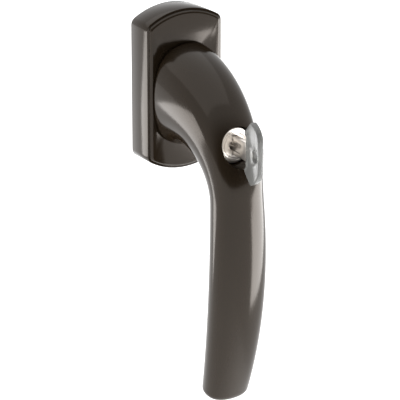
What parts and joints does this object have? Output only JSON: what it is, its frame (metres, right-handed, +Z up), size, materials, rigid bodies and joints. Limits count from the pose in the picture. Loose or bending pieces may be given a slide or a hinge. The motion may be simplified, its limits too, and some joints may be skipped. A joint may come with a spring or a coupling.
{
  "type": "lockable window handle",
  "caption": "Lockable casement window handle: bowed grip on an elbow neck, arched rose with a square spindle, and a key in the lock cylinder facing the room.",
  "frame": {"origin": "on the spindle's axis in the rose's mounting plane", "axes": "+Y points into the window sash, +Z is up with the closed grip hanging down, and +X is to the right as seen from the room"},
  "size_m": [0.036, 0.0908, 0.1623],
  "materials": {
    "lacquer": "dark grey-brown semi-gloss lacquer",
    "alloy": "as die cast",
    "steel": "zinc plated",
    "nickel": "satin nickel plate",
    "brass": "stamped",
    "nylon": "moulded",
    "clear_plastic": "clear grey moulding"
  },
  "bodies": {
    "rose": {"rose_cover": "lacquer", "rose_base": "alloy", "fixing_screws": "steel", "bearing_bush": "nylon", "index_ring": "nylon", "locking_collar": "steel"},
    "handle": {"handle_body": "lacquer", "spindle": "steel", "spindle_pin": "steel", "index_carrier": "nylon", "index_balls": "steel", "index_springs": "steel", "snap_ring": "steel", "thrust_washer": "nylon", "bolt_guide": "nylon", "cylinder_housing": "nickel", "cylinder_set_screw": "steel"},
    "bolt": {"locking_bolt": "steel"},
    "plug": {"cylinder_plug": "nickel", "wafers": "brass", "wafer_springs": "steel", "plug_clip": "steel", "lock_driver": "steel"},
    "key": {"key_blade": "nickel", "key_bow": "clear_plastic"}
  },
  "joints": [
    {"name": "handle_turn", "type": "hinge", "parent": "rose", "child": "handle", "pos_m": [0, 0, 0], "axis": [0, 1, 0], "range_deg": [0, 180]},
    {"name": "key_turn", "type": "hinge", "parent": "handle", "child": "plug", "pos_m": [0, -0.0516, -0.0139], "axis": [0, 1, 0], "range_deg": [0, 90]},
    {"name": "bolt_slide", "type": "slide", "parent": "handle", "child": "bolt", "axis": [0, 0, 1], "range_m": [0, 0.00227]},
    {"name": "key_slide", "type": "slide", "parent": "plug", "child": "key", "axis": [0, -1, 0], "range_m": [0, 0.03]}
  ],
  "couplings": [
    {"joint": "bolt_slide", "follows": "key_turn", "m_per_rad": 0.0014405}
  ]
}
